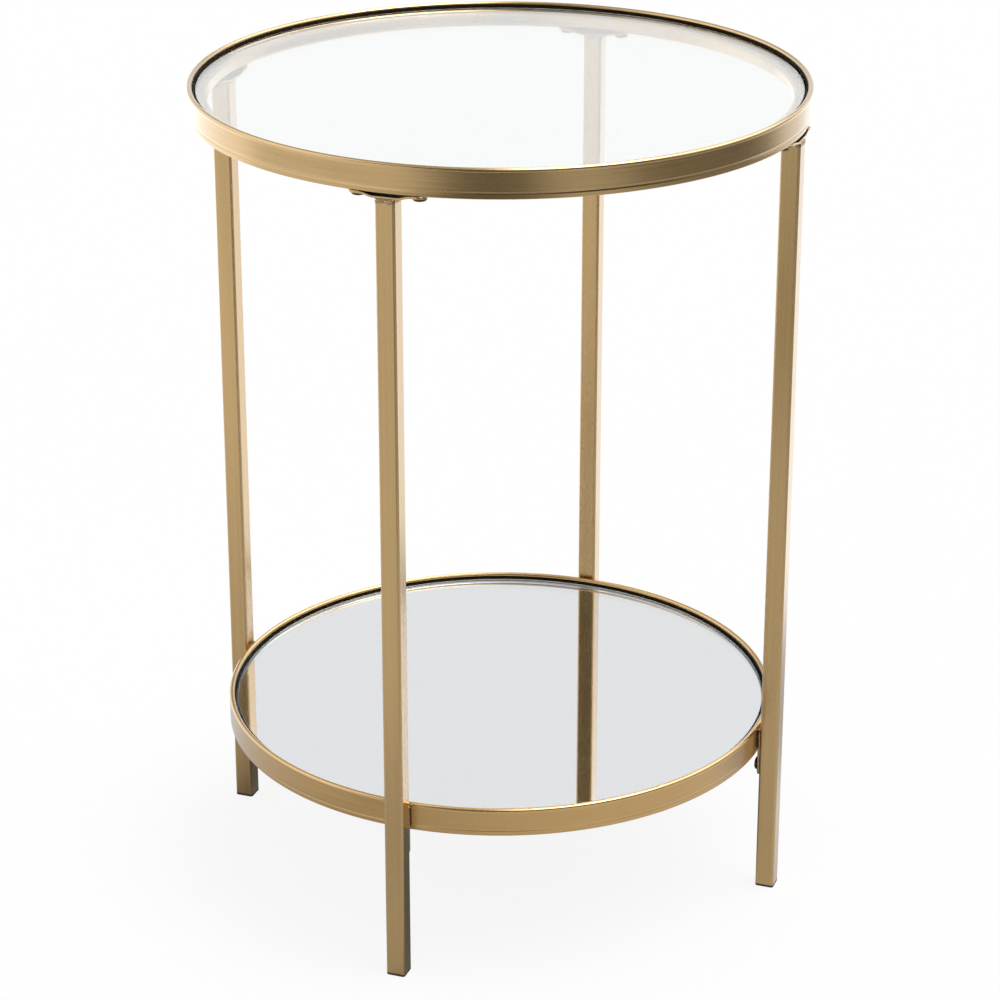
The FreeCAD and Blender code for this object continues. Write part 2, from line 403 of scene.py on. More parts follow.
class NodeBench:
    """Builds one node tree, node by node."""

    def __init__(self, tree: bpy.types.NodeTree) -> None:
        """Empties a tree and keeps it."""
        tree.nodes.clear()
        self.tree = tree

    def node(
        self,
        kind: str,
        settings: dict[str, Any] | None = None,
        inputs: dict[str | int, Any] | None = None,
        output: str | int = 0,
    ) -> Shade | None:
        """Adds one node.

        Args:
            kind: The node's type.
            settings: Its properties, which are set first.
            inputs: Values or links of its sockets, by name or number.
            output: The output to give back, by name or number.

        Returns:
            That output, or None from a node that has none.
        """
        made = self.tree.nodes.new(kind)
        for name, value in (settings or {}).items():
            setattr(made, name, value)
        for name, value in (inputs or {}).items():
            if isinstance(value, Shade):
                self.tree.links.new(value.socket, made.inputs[name])
            else:
                made.inputs[name].default_value = value
        return Shade(self, made.outputs[output]) if made.outputs else None

    def math(self, operation: str, first: Shade | float, second: Shade | float) -> Shade:
        """Adds a Math node."""
        return self.node("ShaderNodeMath", {"operation": operation}, {0: first, 1: second})

    def most(self, first: Shade, second: Shade | float) -> Shade:
        """The larger of two values."""
        return self.math("MAXIMUM", first, second)

    def smooth(self, value: Shade, low: float, high: float) -> Shade:
        """Smooth step from 0 at low to 1 at high."""
        limits = {"Value": value, "From Min": low, "From Max": high}
        return self.node("ShaderNodeMapRange", {"interpolation_type": "SMOOTHSTEP"}, limits)

    def fall(self, value: Shade, low: float, high: float) -> Shade:
        """Smooth step from 1 at low to 0 at high."""
        return 1.0 - self.smooth(value, low, high)

    def mix(self, factor: Shade | float, first: Any, second: Any) -> Shade:
        """Colour between two colours."""
        return self.node("ShaderNodeMix", {"data_type": "RGBA"}, {0: factor, 6: first, 7: second}, 2)

    def vector(self, operation: str, first: Shade, second: Sequence[float], output: str = "Value") -> Shade:
        """Adds a Vector Math node with a fixed second vector."""
        inputs = {0: first, 1: tuple(second)}
        return self.node("ShaderNodeVectorMath", {"operation": operation}, inputs, output)

    def place(self) -> Shade:
        """Object coordinates, in metres."""
        return self.node("ShaderNodeTexCoord", output="Object")

    def mark(self) -> Shade:
        """The piece's own mark."""
        return self.node("ShaderNodeAttribute", {"attribute_name": MARK}, output="Fac")

    def ray(self, kind: str) -> Shade:
        """1 on rays of one kind, and 0 on the others."""
        return self.node("ShaderNodeLightPath", output=f"Is {kind} Ray")

    def noise(self, vector: Shade, scale: float, detail: float, roughness: float = 0.5) -> Shade:
        """Noise from 0 to 1 about one half."""
        inputs = {"Vector": vector, "Scale": scale, "Detail": detail, "Roughness": roughness}
        return self.node("ShaderNodeTexNoise", None, inputs, "Fac")

    def bump(self, height: Shade, distance: float, strength: float = 1.0) -> Shade:
        """Normal of a surface with small heights on it."""
        inputs = {"Height": height, "Distance": distance, "Strength": strength}
        return self.node("ShaderNodeBump", None, inputs, "Normal")

    def stretched(self, grain: Grain, fine: float, long: float) -> Shade:
        """Coordinates for lines that run along a piece.

        Args:
            grain: The way that the lines run.
            fine: Scale across the lines, per metre.
            long: Scale along the lines, per metre of height or per radian of turn.

        Returns:
            A vector: distance from the axis, height and turn for AROUND, and place for the others.
        """
        place = self.place()
        if grain is Grain.AROUND:
            x, y, z = (self.node("ShaderNodeSeparateXYZ", None, {"Vector": place}, axis) for axis in "XYZ")
            distance = self.math("SQRT", x * x + y * y, 0.0)
            turn = self.math("ARCTAN2", y, x)
            parts = {"X": distance * fine, "Y": z * fine, "Z": turn * long}
            return self.node("ShaderNodeCombineXYZ", None, parts)
        scale = (fine, fine, long if grain is Grain.UPRIGHT else fine)
        return self.vector("MULTIPLY", place, scale, "Vector")

    def principled(self, inputs: dict[str, Any]) -> Shade:
        """The main surface shader."""
        return self.node("ShaderNodeBsdfPrincipled", None, inputs)

    def mix_shaders(self, factor: Shade, first: Shade, second: Shade) -> Shade:
        """Shader between two shaders."""
        return self.node("ShaderNodeMixShader", None, {0: factor, 1: first, 2: second})

    def surface(self, shader: Shade) -> None:
        """Ends a material."""
        self.node("ShaderNodeOutputMaterial", None, {"Surface": shader})


@dataclass(frozen=True)
class Finish:
    """A finish, which makes one material."""

    name: str

    def paint(self, bench: NodeBench) -> Shade:
        """The finish's shader, as nodes of a bench."""
        raise NotImplementedError

    def material(self) -> bpy.types.Material:
        """A new material with this finish.

        Returns:
            The material, whose nodes end in the finish's shader.
        """
        made = bpy.data.materials.new(self.name)
        made.use_nodes = True
        bench = NodeBench(made.node_tree)
        bench.surface(self.paint(bench))
        return made


@dataclass(frozen=True)
class SatinGold(Finish):
    """Champagne-gold metal under clear lacquer: faint drawn lines, fine flecks and slightly rubbed edges.

    A mark above 0 is a rubbed edge, and one below 0 a face with painted shade: near black and unlacquered.
    """

    grain: Grain = Grain.NONE
    light: Colour = (0.532, 0.352, 0.144, 1.0)
    dark: Colour = (0.456, 0.297, 0.117, 1.0)
    edge: Colour = (0.620, 0.430, 0.200, 1.0)
    # Painted shade: near-black colour for faces in a gap or under another part.
    painted_shade: Colour = (0.028, 0.020, 0.011, 1.0)
    roughness: float = 0.27
    gloss_spread: float = 0.08
    edge_gloss: float = -0.04
    painted_shade_dulling: float = 0.4
    fine: float = 600.0
    long: float = 4.0
    fleck: float = 2600.0
    cloud: float = 55.0
    wave: float = 330.0
    wave_long: float = 0.8
    wave_height: float = 0.02 * MM
    line_height: float = 0.004 * MM
    tone_limits: Edge = (0.22, 0.78)
    edge_share: float = 0.35
    lacquer_roughness: float = 0.16
    lacquer_index: float = 1.5

    def paint(self, bench: NodeBench) -> Shade:
        """Metal whose colour and gloss follow its lines, flecks, rubbed edges and painted shade.

        Args:
            bench: The tree to build.

        Returns:
            The shader.
        """
        lines = bench.noise(bench.stretched(self.grain, self.fine, self.long), 1.0, 2.0)
        streaks = bench.noise(bench.stretched(self.grain, self.fine * 0.5, self.long * 0.5), 1.0, 1.0)
        waves = bench.noise(bench.stretched(self.grain, self.wave, self.wave_long), 1.0, 1.0)
        flecks = bench.noise(bench.place(), self.fleck, 1.0)
        clouds = bench.noise(bench.place(), self.cloud, 3.0)
        rubbed = bench.most(bench.mark(), 0.0)
        # Painted shade where the mark is below 0: near black, rougher and without lacquer.
        painted_shade = bench.most(-1.0 * bench.mark(), 0.0)
        pattern = lines * 0.25 + streaks * 0.45 + clouds * 0.15 + flecks * 0.15
        colour = bench.mix(bench.smooth(pattern, *self.tone_limits), self.dark, self.light)
        colour = bench.mix(rubbed * self.edge_share, colour, self.edge)
        gloss = self.roughness + (clouds - 0.5) * self.gloss_spread + (lines - 0.5) * self.gloss_spread
        gloss = gloss + rubbed * self.edge_gloss + painted_shade * self.painted_shade_dulling
        height = waves + (lines * 0.8 + flecks * 0.2) * (self.line_height / self.wave_height)
        return bench.principled({
            "Base Color": bench.mix(painted_shade, colour, self.painted_shade),
            "Metallic": 1.0,
            "Roughness": gloss,
            "Coat Weight": 1.0 - painted_shade,
            "Coat Roughness": self.lacquer_roughness,
            "Coat IOR": self.lacquer_index,
            "Normal": bench.bump(height, self.wave_height),
        })


@dataclass(frozen=True)
class Weld(Finish):
    """The same lacquer over a weld: brown and lumpy, with a few pale glints of spatter."""

    light: Colour = (0.430, 0.280, 0.130, 1.0)
    dark: Colour = (0.180, 0.110, 0.050, 1.0)
    glint: Colour = (0.860, 0.720, 0.600, 1.0)
    lump: float = 1500.0
    lump_height: float = 0.2 * MM
    speck: float = 1600.0
    speck_limits: Edge = (0.57, 0.68)
    roughness: float = 0.25
    lump_dulling: float = 0.25

    def paint(self, bench: NodeBench) -> Shade:
        """Metal with lumps and specks.

        Args:
            bench: The tree to build.

        Returns:
            The shader.
        """
        lumps = bench.noise(bench.place(), self.lump, 3.0, 0.65)
        specks = bench.smooth(bench.noise(bench.place(), self.speck, 1.0), *self.speck_limits)
        return bench.principled({
            "Base Color": bench.mix(specks, bench.mix(lumps, self.dark, self.light), self.glint),
            "Metallic": 1.0,
            "Roughness": self.roughness + lumps * self.lump_dulling,
            "Normal": bench.bump(lumps, self.lump_height, 0.7),
        })


@dataclass(frozen=True)
class PlateGlass(Finish):
    """Clear float glass with ground, faintly green edges and a few smears.

    A mark of 1 is a ground edge.
    """

    clear: Colour = (0.955, 0.990, 0.978, 1.0)
    smeared: Colour = (0.945, 0.982, 0.970, 1.0)
    ground: Colour = (0.70, 0.80, 0.77, 1.0)
    shadow: Colour = (0.94, 0.96, 0.95, 1.0)
    ground_roughness: float = 0.14
    grit_dulling: float = 0.12
    index: float = 1.5
    sheen: float = 1.0
    sheen_index: float = 2.2
    smear: float = 14.0
    smear_limits: Edge = (0.52, 0.75)
    grit: float = 3000.0
    grit_height: float = 0.02 * MM

    def paint(self, bench: NodeBench) -> Shade:
        """Glass, rough where its edge is ground and smeared on its faces, that casts a faint shadow.

        Args:
            bench: The tree to build.

        Returns:
            The shader.
        """
        ground = bench.mark()
        smears = bench.smooth(bench.noise(bench.place(), self.smear, 3.0, 0.6), *self.smear_limits)
        grit = bench.noise(bench.place(), self.grit, 1.0)
        face = bench.mix(smears, self.clear, self.smeared)
        glass = bench.principled({
            "Base Color": bench.mix(ground, face, self.ground),
            "Roughness": ground * (self.ground_roughness + grit * self.grit_dulling),
            "IOR": self.index,
            "Transmission Weight": 1.0,
            "Coat Weight": self.sheen,
            "Coat Roughness": 0.0,
            "Coat IOR": self.sheen_index,
            "Normal": bench.bump(grit * ground, self.grit_height, 0.5),
        })
        shadow = bench.node("ShaderNodeBsdfTransparent", None, {"Color": self.shadow})
        return bench.mix_shaders(bench.ray("Shadow"), glass, shadow)


@dataclass(frozen=True)
class Silvering(Finish):
    """Silver film on the mirror's back, with grey paint behind it.

    A mark of 0 is silver, and one of 1 is paint.
    """

    silver: Colour = (0.760, 0.766, 0.789, 1.0)
    paint_light: Colour = (0.30, 0.31, 0.31, 1.0)
    paint_dark: Colour = (0.22, 0.23, 0.23, 1.0)
    paint_roughness: float = 0.45
    stroke: float = 60.0
    stroke_dulling: float = 0.15

    def paint(self, bench: NodeBench) -> Shade:
        """Clean silver and brushed-out paint.

        Args:
            bench: The tree to build.

        Returns:
            The shader.
        """
        back = bench.mark()
        strokes = bench.noise(bench.stretched(Grain.NONE, self.stroke, self.stroke), 1.0, 4.0, 0.7)
        behind = bench.mix(strokes, self.paint_dark, self.paint_light)
        return bench.principled({
            "Base Color": bench.mix(back, self.silver, behind),
            "Metallic": 1.0 - back,
            "Roughness": back * (self.paint_roughness + strokes * self.stroke_dulling),
        })


@dataclass(frozen=True)
class SoftPad(Finish):
    """Clear silicone with a faint cloud in it."""

    colour: Colour = (0.86, 0.88, 0.87, 1.0)
    cloudy: Colour = (0.74, 0.77, 0.76, 1.0)
    roughness: float = 0.28
    cloud_dulling: float = 0.14
    index: float = 1.41
    clearness: float = 0.6
    cloud: float = 420.0
    grit: float = 2500.0
    grit_height: float = 0.02 * MM

    def paint(self, bench: NodeBench) -> Shade:
        """Soft translucent rubber.

        Args:
            bench: The tree to build.

        Returns:
            The shader.
        """
        cloud = bench.noise(bench.place(), self.cloud, 2.0)
        grit = bench.noise(bench.place(), self.grit, 1.0)
        return bench.principled({
            "Base Color": bench.mix(cloud, self.cloudy, self.colour),
            "Roughness": self.roughness + cloud * self.cloud_dulling,
            "IOR": self.index,
            "Transmission Weight": self.clearness,
            "Normal": bench.bump(grit, self.grit_height, 0.3),
        })


@dataclass(frozen=True)
class TurnedSteel(Finish):
    """Plated steel of a screw or an insert: fine turning marks, dark hollows and bright edges."""

    light: Colour = (0.085, 0.058, 0.027, 1.0)
    dark: Colour = (0.020, 0.014, 0.008, 1.0)
    roughness: float = 0.24
    patch_dulling: float = 0.14
    edge_gloss: float = 0.05
    tone_limits: Edge = (0.25, 0.75)
    patch: float = 520.0
    grit: float = 3800.0
    grit_height: float = 0.02 * MM

    def paint(self, bench: NodeBench) -> Shade:
        """Metal with patches of thin plating and rubbed edges.

        Args:
            bench: The tree to build.

        Returns:
            The shader.
        """
        patches = bench.noise(bench.place(), self.patch, 3.0, 0.6)
        grit = bench.noise(bench.place(), self.grit, 1.0)
        rubbed = bench.mark()
        tone = bench.smooth(patches * 0.6 + rubbed * 0.5, *self.tone_limits)
        return bench.principled({
            "Base Color": bench.mix(tone, self.dark, self.light),
            "Metallic": 1.0,
            "Roughness": self.roughness + patches * self.patch_dulling - rubbed * self.edge_gloss,
            "Normal": bench.bump(grit, self.grit_height, 0.4),
        })


@dataclass(frozen=True)
class MouldedPlastic(Finish):
    """Dark polyethylene with a spark-eroded grain and pale scuffs where it slides on the floor."""

    colour: Colour = (0.030, 0.024, 0.020, 1.0)
    scuff: Colour = (0.110, 0.096, 0.084, 1.0)
    roughness: float = 0.52
    grain_dulling: float = 0.16
    grain: float = 2800.0
    grain_height: float = 0.05 * MM
    scuff_scale: float = 900.0
    scuff_limits: Edge = (0.48, 0.7)

    def paint(self, bench: NodeBench) -> Shade:
        """Matt plastic with grain and scuffs on its rounded edge.

        Args:
            bench: The tree to build.

        Returns:
            The shader.
        """
        grain = bench.noise(bench.place(), self.grain, 2.0, 0.6)
        scuffs = bench.smooth(bench.noise(bench.place(), self.scuff_scale, 2.0), *self.scuff_limits)
        return bench.principled({
            "Base Color": bench.mix(scuffs * bench.mark(), self.colour, self.scuff),
            "Roughness": self.roughness + grain * self.grain_dulling,
            "Normal": bench.bump(grain, self.grain_height, 0.5),
        })


GOLD_AROUND = SatinGold("gold_around", Grain.AROUND, fine=450.0, wave_height=0.12 * MM)
GOLD_WARM = replace(
    GOLD_AROUND, name="gold_around_warm", light=(0.545, 0.335, 0.118, 1.0), dark=(0.470, 0.285, 0.096, 1.0)
)
GOLD_UPRIGHT = SatinGold("gold_upright", Grain.UPRIGHT, edge_gloss=0.22)
GOLD_PLAIN = SatinGold("gold_plain")
# Painted shade: a darker copy of the gold for the shelf tab, which sits in shade between hoop and leg.
GOLD_SHADED = SatinGold("gold_painted_shade", light=(0.330, 0.205, 0.085, 1.0), dark=(0.230, 0.140, 0.056, 1.0))
LEG_WELD = Weld("weld")
# Painted shade: near-black welds beside the tab, standing in for the shade in the crease between tab and
# hoop.
SHADED_TAB_WELD = Weld(
    "tab_weld_painted_shade", (0.120, 0.075, 0.035, 1.0), (0.030, 0.020, 0.010, 1.0), (0.240, 0.170, 0.100, 1.0)
)
TOP_GLASS = PlateGlass("plate_glass")
MIRROR_GLASS = PlateGlass(
    "mirror_glass", (0.985, 0.995, 0.990, 1.0), (0.977, 0.987, 0.982, 1.0), (0.22, 0.35, 0.43, 1.0),
    ground_roughness=0.35, sheen=0.0,
)
BRONZED_STEEL = TurnedSteel("bronzed_steel")
ZINC_STEEL = TurnedSteel("zinc_steel", (0.62, 0.62, 0.60, 1.0), (0.40, 0.40, 0.39, 1.0), 0.32)


class Shop:
    """Puts surfaces into meshes, dresses them and sets them on the frame."""

    def __init__(self) -> None:
        """Starts with no materials made."""
        self.made: dict[Finish, bpy.types.Material] = {}

    def material(self, finish: Finish) -> bpy.types.Material:
        """The one material of a finish."""
        if finish not in self.made:
            self.made[finish] = finish.material()
        return self.made[finish]

    @staticmethod
    def mesh(name: str, shape: Surface) -> bpy.types.Object:
        """A smooth-shaded object from a surface.

        Args:
            name: The object's name.
            shape: Its points, faces and marks.

        Returns:
            The object, at the origin and linked to the scene.
        """
        corners = np.concatenate([shape.quads.reshape(-1), shape.tris.reshape(-1)]).astype(np.int32)
        four, three = len(shape.quads), len(shape.tris)
        starts = np.concatenate([4 * np.arange(four), 4 * four + 3 * np.arange(three)]).astype(np.int32)
        mesh = bpy.data.meshes.new(name)
        mesh.vertices.add(len(shape.points))
        mesh.vertices.foreach_set("co", shape.points.astype(np.float32).reshape(-1))
        mesh.loops.add(len(corners))
        mesh.loops.foreach_set("vertex_index", corners)
        mesh.polygons.add(four + three)
        mesh.polygons.foreach_set("loop_start", starts)
        mesh.polygons.foreach_set("use_smooth", np.ones(four + three, bool))
        mesh.update(calc_edges=True)
        mark = mesh.attributes.new(MARK, "FLOAT", "POINT")
        mark.data.foreach_set("value", shape.marks.astype(np.float32))
        made = bpy.data.objects.new(name, mesh)
        bpy.context.scene.collection.objects.link(made)
        return made

    def add(
        self, name: str, shape: Surface, finish: Finish, body: str, slot: str, replaced: str = ""
    ) -> None:
        """Adds one piece of the object.

        Args:
            name: The piece's name.
            shape: Its surface.
            finish: Its finish.
            body: The body that it rides on.
            slot: The record's material slot, which is not used.
            replaced: The node that it stands for, if any.
        """
        piece = self.mesh(name, shape)
        piece.data.materials.append(self.material(finish))
        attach(piece, body)
        if replaced:
            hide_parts(replaced)
        LOG.info("%s: %d points, rides on %s", name, len(shape.points), body)

    def dress(self, node: str, finish: Finish) -> None:
        """Gives a solid that stays its finish."""
        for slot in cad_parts[node].material_slots:
            slot.material = self.material(finish)
        LOG.info("%s: dressed", node)


@dataclass
class RolledHoop:
    """A hoop of stepped tube: a round-topped lip outside and a ledge for the pane inside.

    Attributes:
        node: The hoop's node.
        seam: Turn of its butt weld from +X.
        gold: Its finish.
    """

    node: str
    seam: float
    gold: SatinGold
    width: float = 12.7 * MM
    lip_width: float = 3.6 * MM
    ledge_height: float = 9.5 * MM
    round: float = 2.2 * MM
    crest_flat: float = 0.1 * MM
    inner_corner: float = 0.25 * MM
    rim_proud: float = 0.15 * MM
    rim_drop: float = 2.0 * MM
    rim_height: float = 0.65 * MM
    rim_round: float = 1.6 * MM
    rim_fillet: float = 3.0 * MM
    line_rise: float = 3.8 * MM
    line_width: float = 2.2 * MM
    line_depth: float = 0.2 * MM
    line_round: float = 1.3 * MM
    band_draft: float = 0.15 * MM
    band_round: float = 0.5 * MM
    # Painted shade on the lip's inner wall: how far below the crest it starts, and how it fades in.
    painted_shade_drop: float = 1.9 * MM
    painted_shade_step: float = 0.06 * MM
    painted_shade_fade_steps: int = 4
    seam_height: float = 0.16 * MM
    seam_width: float = 1.3 * MM
    seam_reach_widths: int = 4
    sectors: int = 540
    seam_sectors: int = 41

    def outer_face(self, rim: float, bottom: float, top: float) -> tuple[list, list]:
        """Outer face from below: a drafted band, a shallow rolled line, and the rim's proud bead.

        Args:
            rim: The hoop's outer radius.
            bottom: Height of its underside.
            top: Height of its crest.

        Returns:
            The face's corners, and their radii.
        """
        line, half = bottom + self.line_rise, self.line_width / 2
        face, bead_foot = rim - self.rim_proud, top - self.rim_drop
        corners = [
            (face - self.band_draft, bottom), (face, line - half), (face - self.line_depth, line),
            (face, line + half), (face, bead_foot - self.rim_height), (rim, bead_foot),
        ]
        return corners, [self.band_round, *[self.line_round] * 3, self.rim_fillet, self.rim_round]

    def section(self) -> tuple[Array, Array]:
        """The tube's outline, with an arc at each corner and painted shade on the lip's inner wall.

        Returns:
            One (radius, height) row per point, and one mark per point.
        """
        low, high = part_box(self.node)
        rim, bottom, top = high.x, low.z, high.z
        inner, lip, ledge = rim - self.width, rim - self.lip_width, bottom + self.ledge_height
        crest = (self.lip_width - self.crest_flat) / 2
        edge, fade = self.painted_shade_step, self.painted_shade_fade_steps * self.painted_shade_step
        wall, painted_shade_top = lip - edge, top - self.painted_shade_drop
        outside, outside_radii = self.outer_face(rim, bottom, top)
        corners = [
            *outside, (rim, top), (lip, top), (lip, painted_shade_top), (wall, painted_shade_top - fade),
            (wall, ledge), (inner, ledge), (inner, bottom),
        ]
        radii = [*outside_radii, crest, crest, edge, edge, self.inner_corner, self.round, self.round]
        loop, marks = rounded(corners, radii, steps=9, guard=self.crest_flat / 4)
        radius, height = loop.T
        # Painted shade: the lip's inner wall turns near black, standing in for the shade in the gap above
        # the pane.
        on_wall = (radius > wall - edge) & (radius < lip + edge)
        below_crest = (height > ledge) & (height < painted_shade_top + edge)
        painted_shade = np.clip((painted_shade_top - height) / fade, 0.0, 1.0)
        return loop, np.where(on_wall & below_crest, -painted_shade, marks)

    def build(self, shop: Shop) -> None:
        """Spins the outline; at the butt weld it swells by a bell curve of the distance along the rim.

        Args:
            shop: The shop that makes the piece.
        """
        loop, marks = self.section()
        rim = loop[:, 0].max()
        reach = self.seam_reach_widths * self.seam_width / rim
        near = self.seam + np.linspace(-reach, reach, self.seam_sectors)
        far = self.seam + np.linspace(reach, TURN - reach, self.sectors)[1:-1]
        angles = np.concatenate([near, far])
        along = np.concatenate([(near - self.seam) * rim, np.full(len(far), rim)])
        swell = self.seam_height * np.exp(-((along / self.seam_width) ** 2))
        shape = spun_loop(loop, marks, angles, swell)
        shop.add(f"hoop_{self.node}", shape, self.gold, "frame", "gold_metal", self.node)


@dataclass
class LoosePane:
    """A round pane with ground edges, which lies loose on its pads.

    Attributes:
        node: The pane's node.
        body: The body that it is.
        slot: Its material slot.
        finish: The glass's finish.
        film: Thickness of the silver and paint behind a mirror, or 0 for clear glass.
    """

    node: str
    body: str
    slot: str
    finish: Finish
    film: float = 0.0
    arris: float = 0.8 * MM
    edge_round: float = 0.15 * MM
    film_sink: float = 0.2 * MM
    film_inset: float = 0.9 * MM
    columns: int = 360

    def disc(self, radius: float, bottom: float, top: float) -> Surface:
        """Glass: a flat disc whose two edges are cut off at 45 degrees.

        Args:
            radius: The disc's radius.
            bottom: Height of its lower face.
            top: Height of its upper face.

        Returns:
            The closed surface, marked where it is ground.
        """
        cut = self.arris
        corners = [
            (0.0, top), (radius - cut, top), (radius, top - cut),
            (radius, bottom + cut), (radius - cut, bottom), (0.0, bottom),
        ]
        run, _ = rounded(corners, self.edge_round, steps=4, closed=False)
        marks = np.clip((run[:, 0] - (radius - cut)) / self.edge_round, 0.0, 1.0)
        return spun_run(run, marks, self.columns)

    def backing(self, radius: float, bottom: float, top: float) -> Surface:
        """Film: a thin disc, silver on top and painted below and round its edge.

        Args:
            radius: The disc's radius.
            bottom: Height of its painted face.
            top: Height of its silver face.

        Returns:
            The closed surface, marked where it is painted.
        """
        round_edge = (top - bottom) / 4
        corners = [(0.0, top), (radius, top), (radius, bottom), (0.0, bottom)]
        run, _ = rounded(corners, round_edge, steps=3, closed=False)
        return spun_run(run, (run[:, 1] < top - round_edge / 8).astype(float), self.columns)

    def build(self, shop: Shop) -> None:
        """Builds the glass and, for a mirror, the film that its back face sinks into.

        Args:
            shop: The shop that makes the pieces.
        """
        low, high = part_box(self.node)
        glass_bottom = low.z + max(self.film - self.film_sink, 0.0)
        glass = self.disc(high.x, glass_bottom, high.z)
        shop.add(f"pane_{self.node}", glass, self.finish, self.body, self.slot, self.node)
        if self.film > 0:
            film = self.backing(high.x - self.film_inset, low.z, low.z + self.film)
            shop.add(f"silvering_{self.node}", film, Silvering("silvering"), self.body, self.slot)


@dataclass
class PadSet:
    """Four clear domed pads on a hoop's ledge, one beside each leg.

    Attributes:
        node: The pads' node.
        place: Distance of the pads from the table's axis.
    """

    node: str
    place: float
    diameter: float = 6.0 * MM
    turn: float = math.radians(-21.0)
    round: float = 0.3 * MM
    columns: int = 40

    def build(self, shop: Shop) -> None:
        """Spins one pad with a rounded rim and copies it to each leg.

        Args:
            shop: The shop that makes the piece.
        """
        low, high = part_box(self.node)
        radius = self.diameter / 2
        corners = [(0.0, high.z), (radius, high.z), (radius, low.z), (0.0, low.z)]
        run, marks = rounded(corners, self.round, steps=6, closed=False)
        pad = spun_run(run, marks, self.columns).moved((self.place, 0.0, 0.0))
        pads = joined([pad.turned(side.value + self.turn) for side in Side])
        shop.add(f"soft_{self.node}", pads, SoftPad("soft_pad"), "frame", "clear_silicone", self.node)


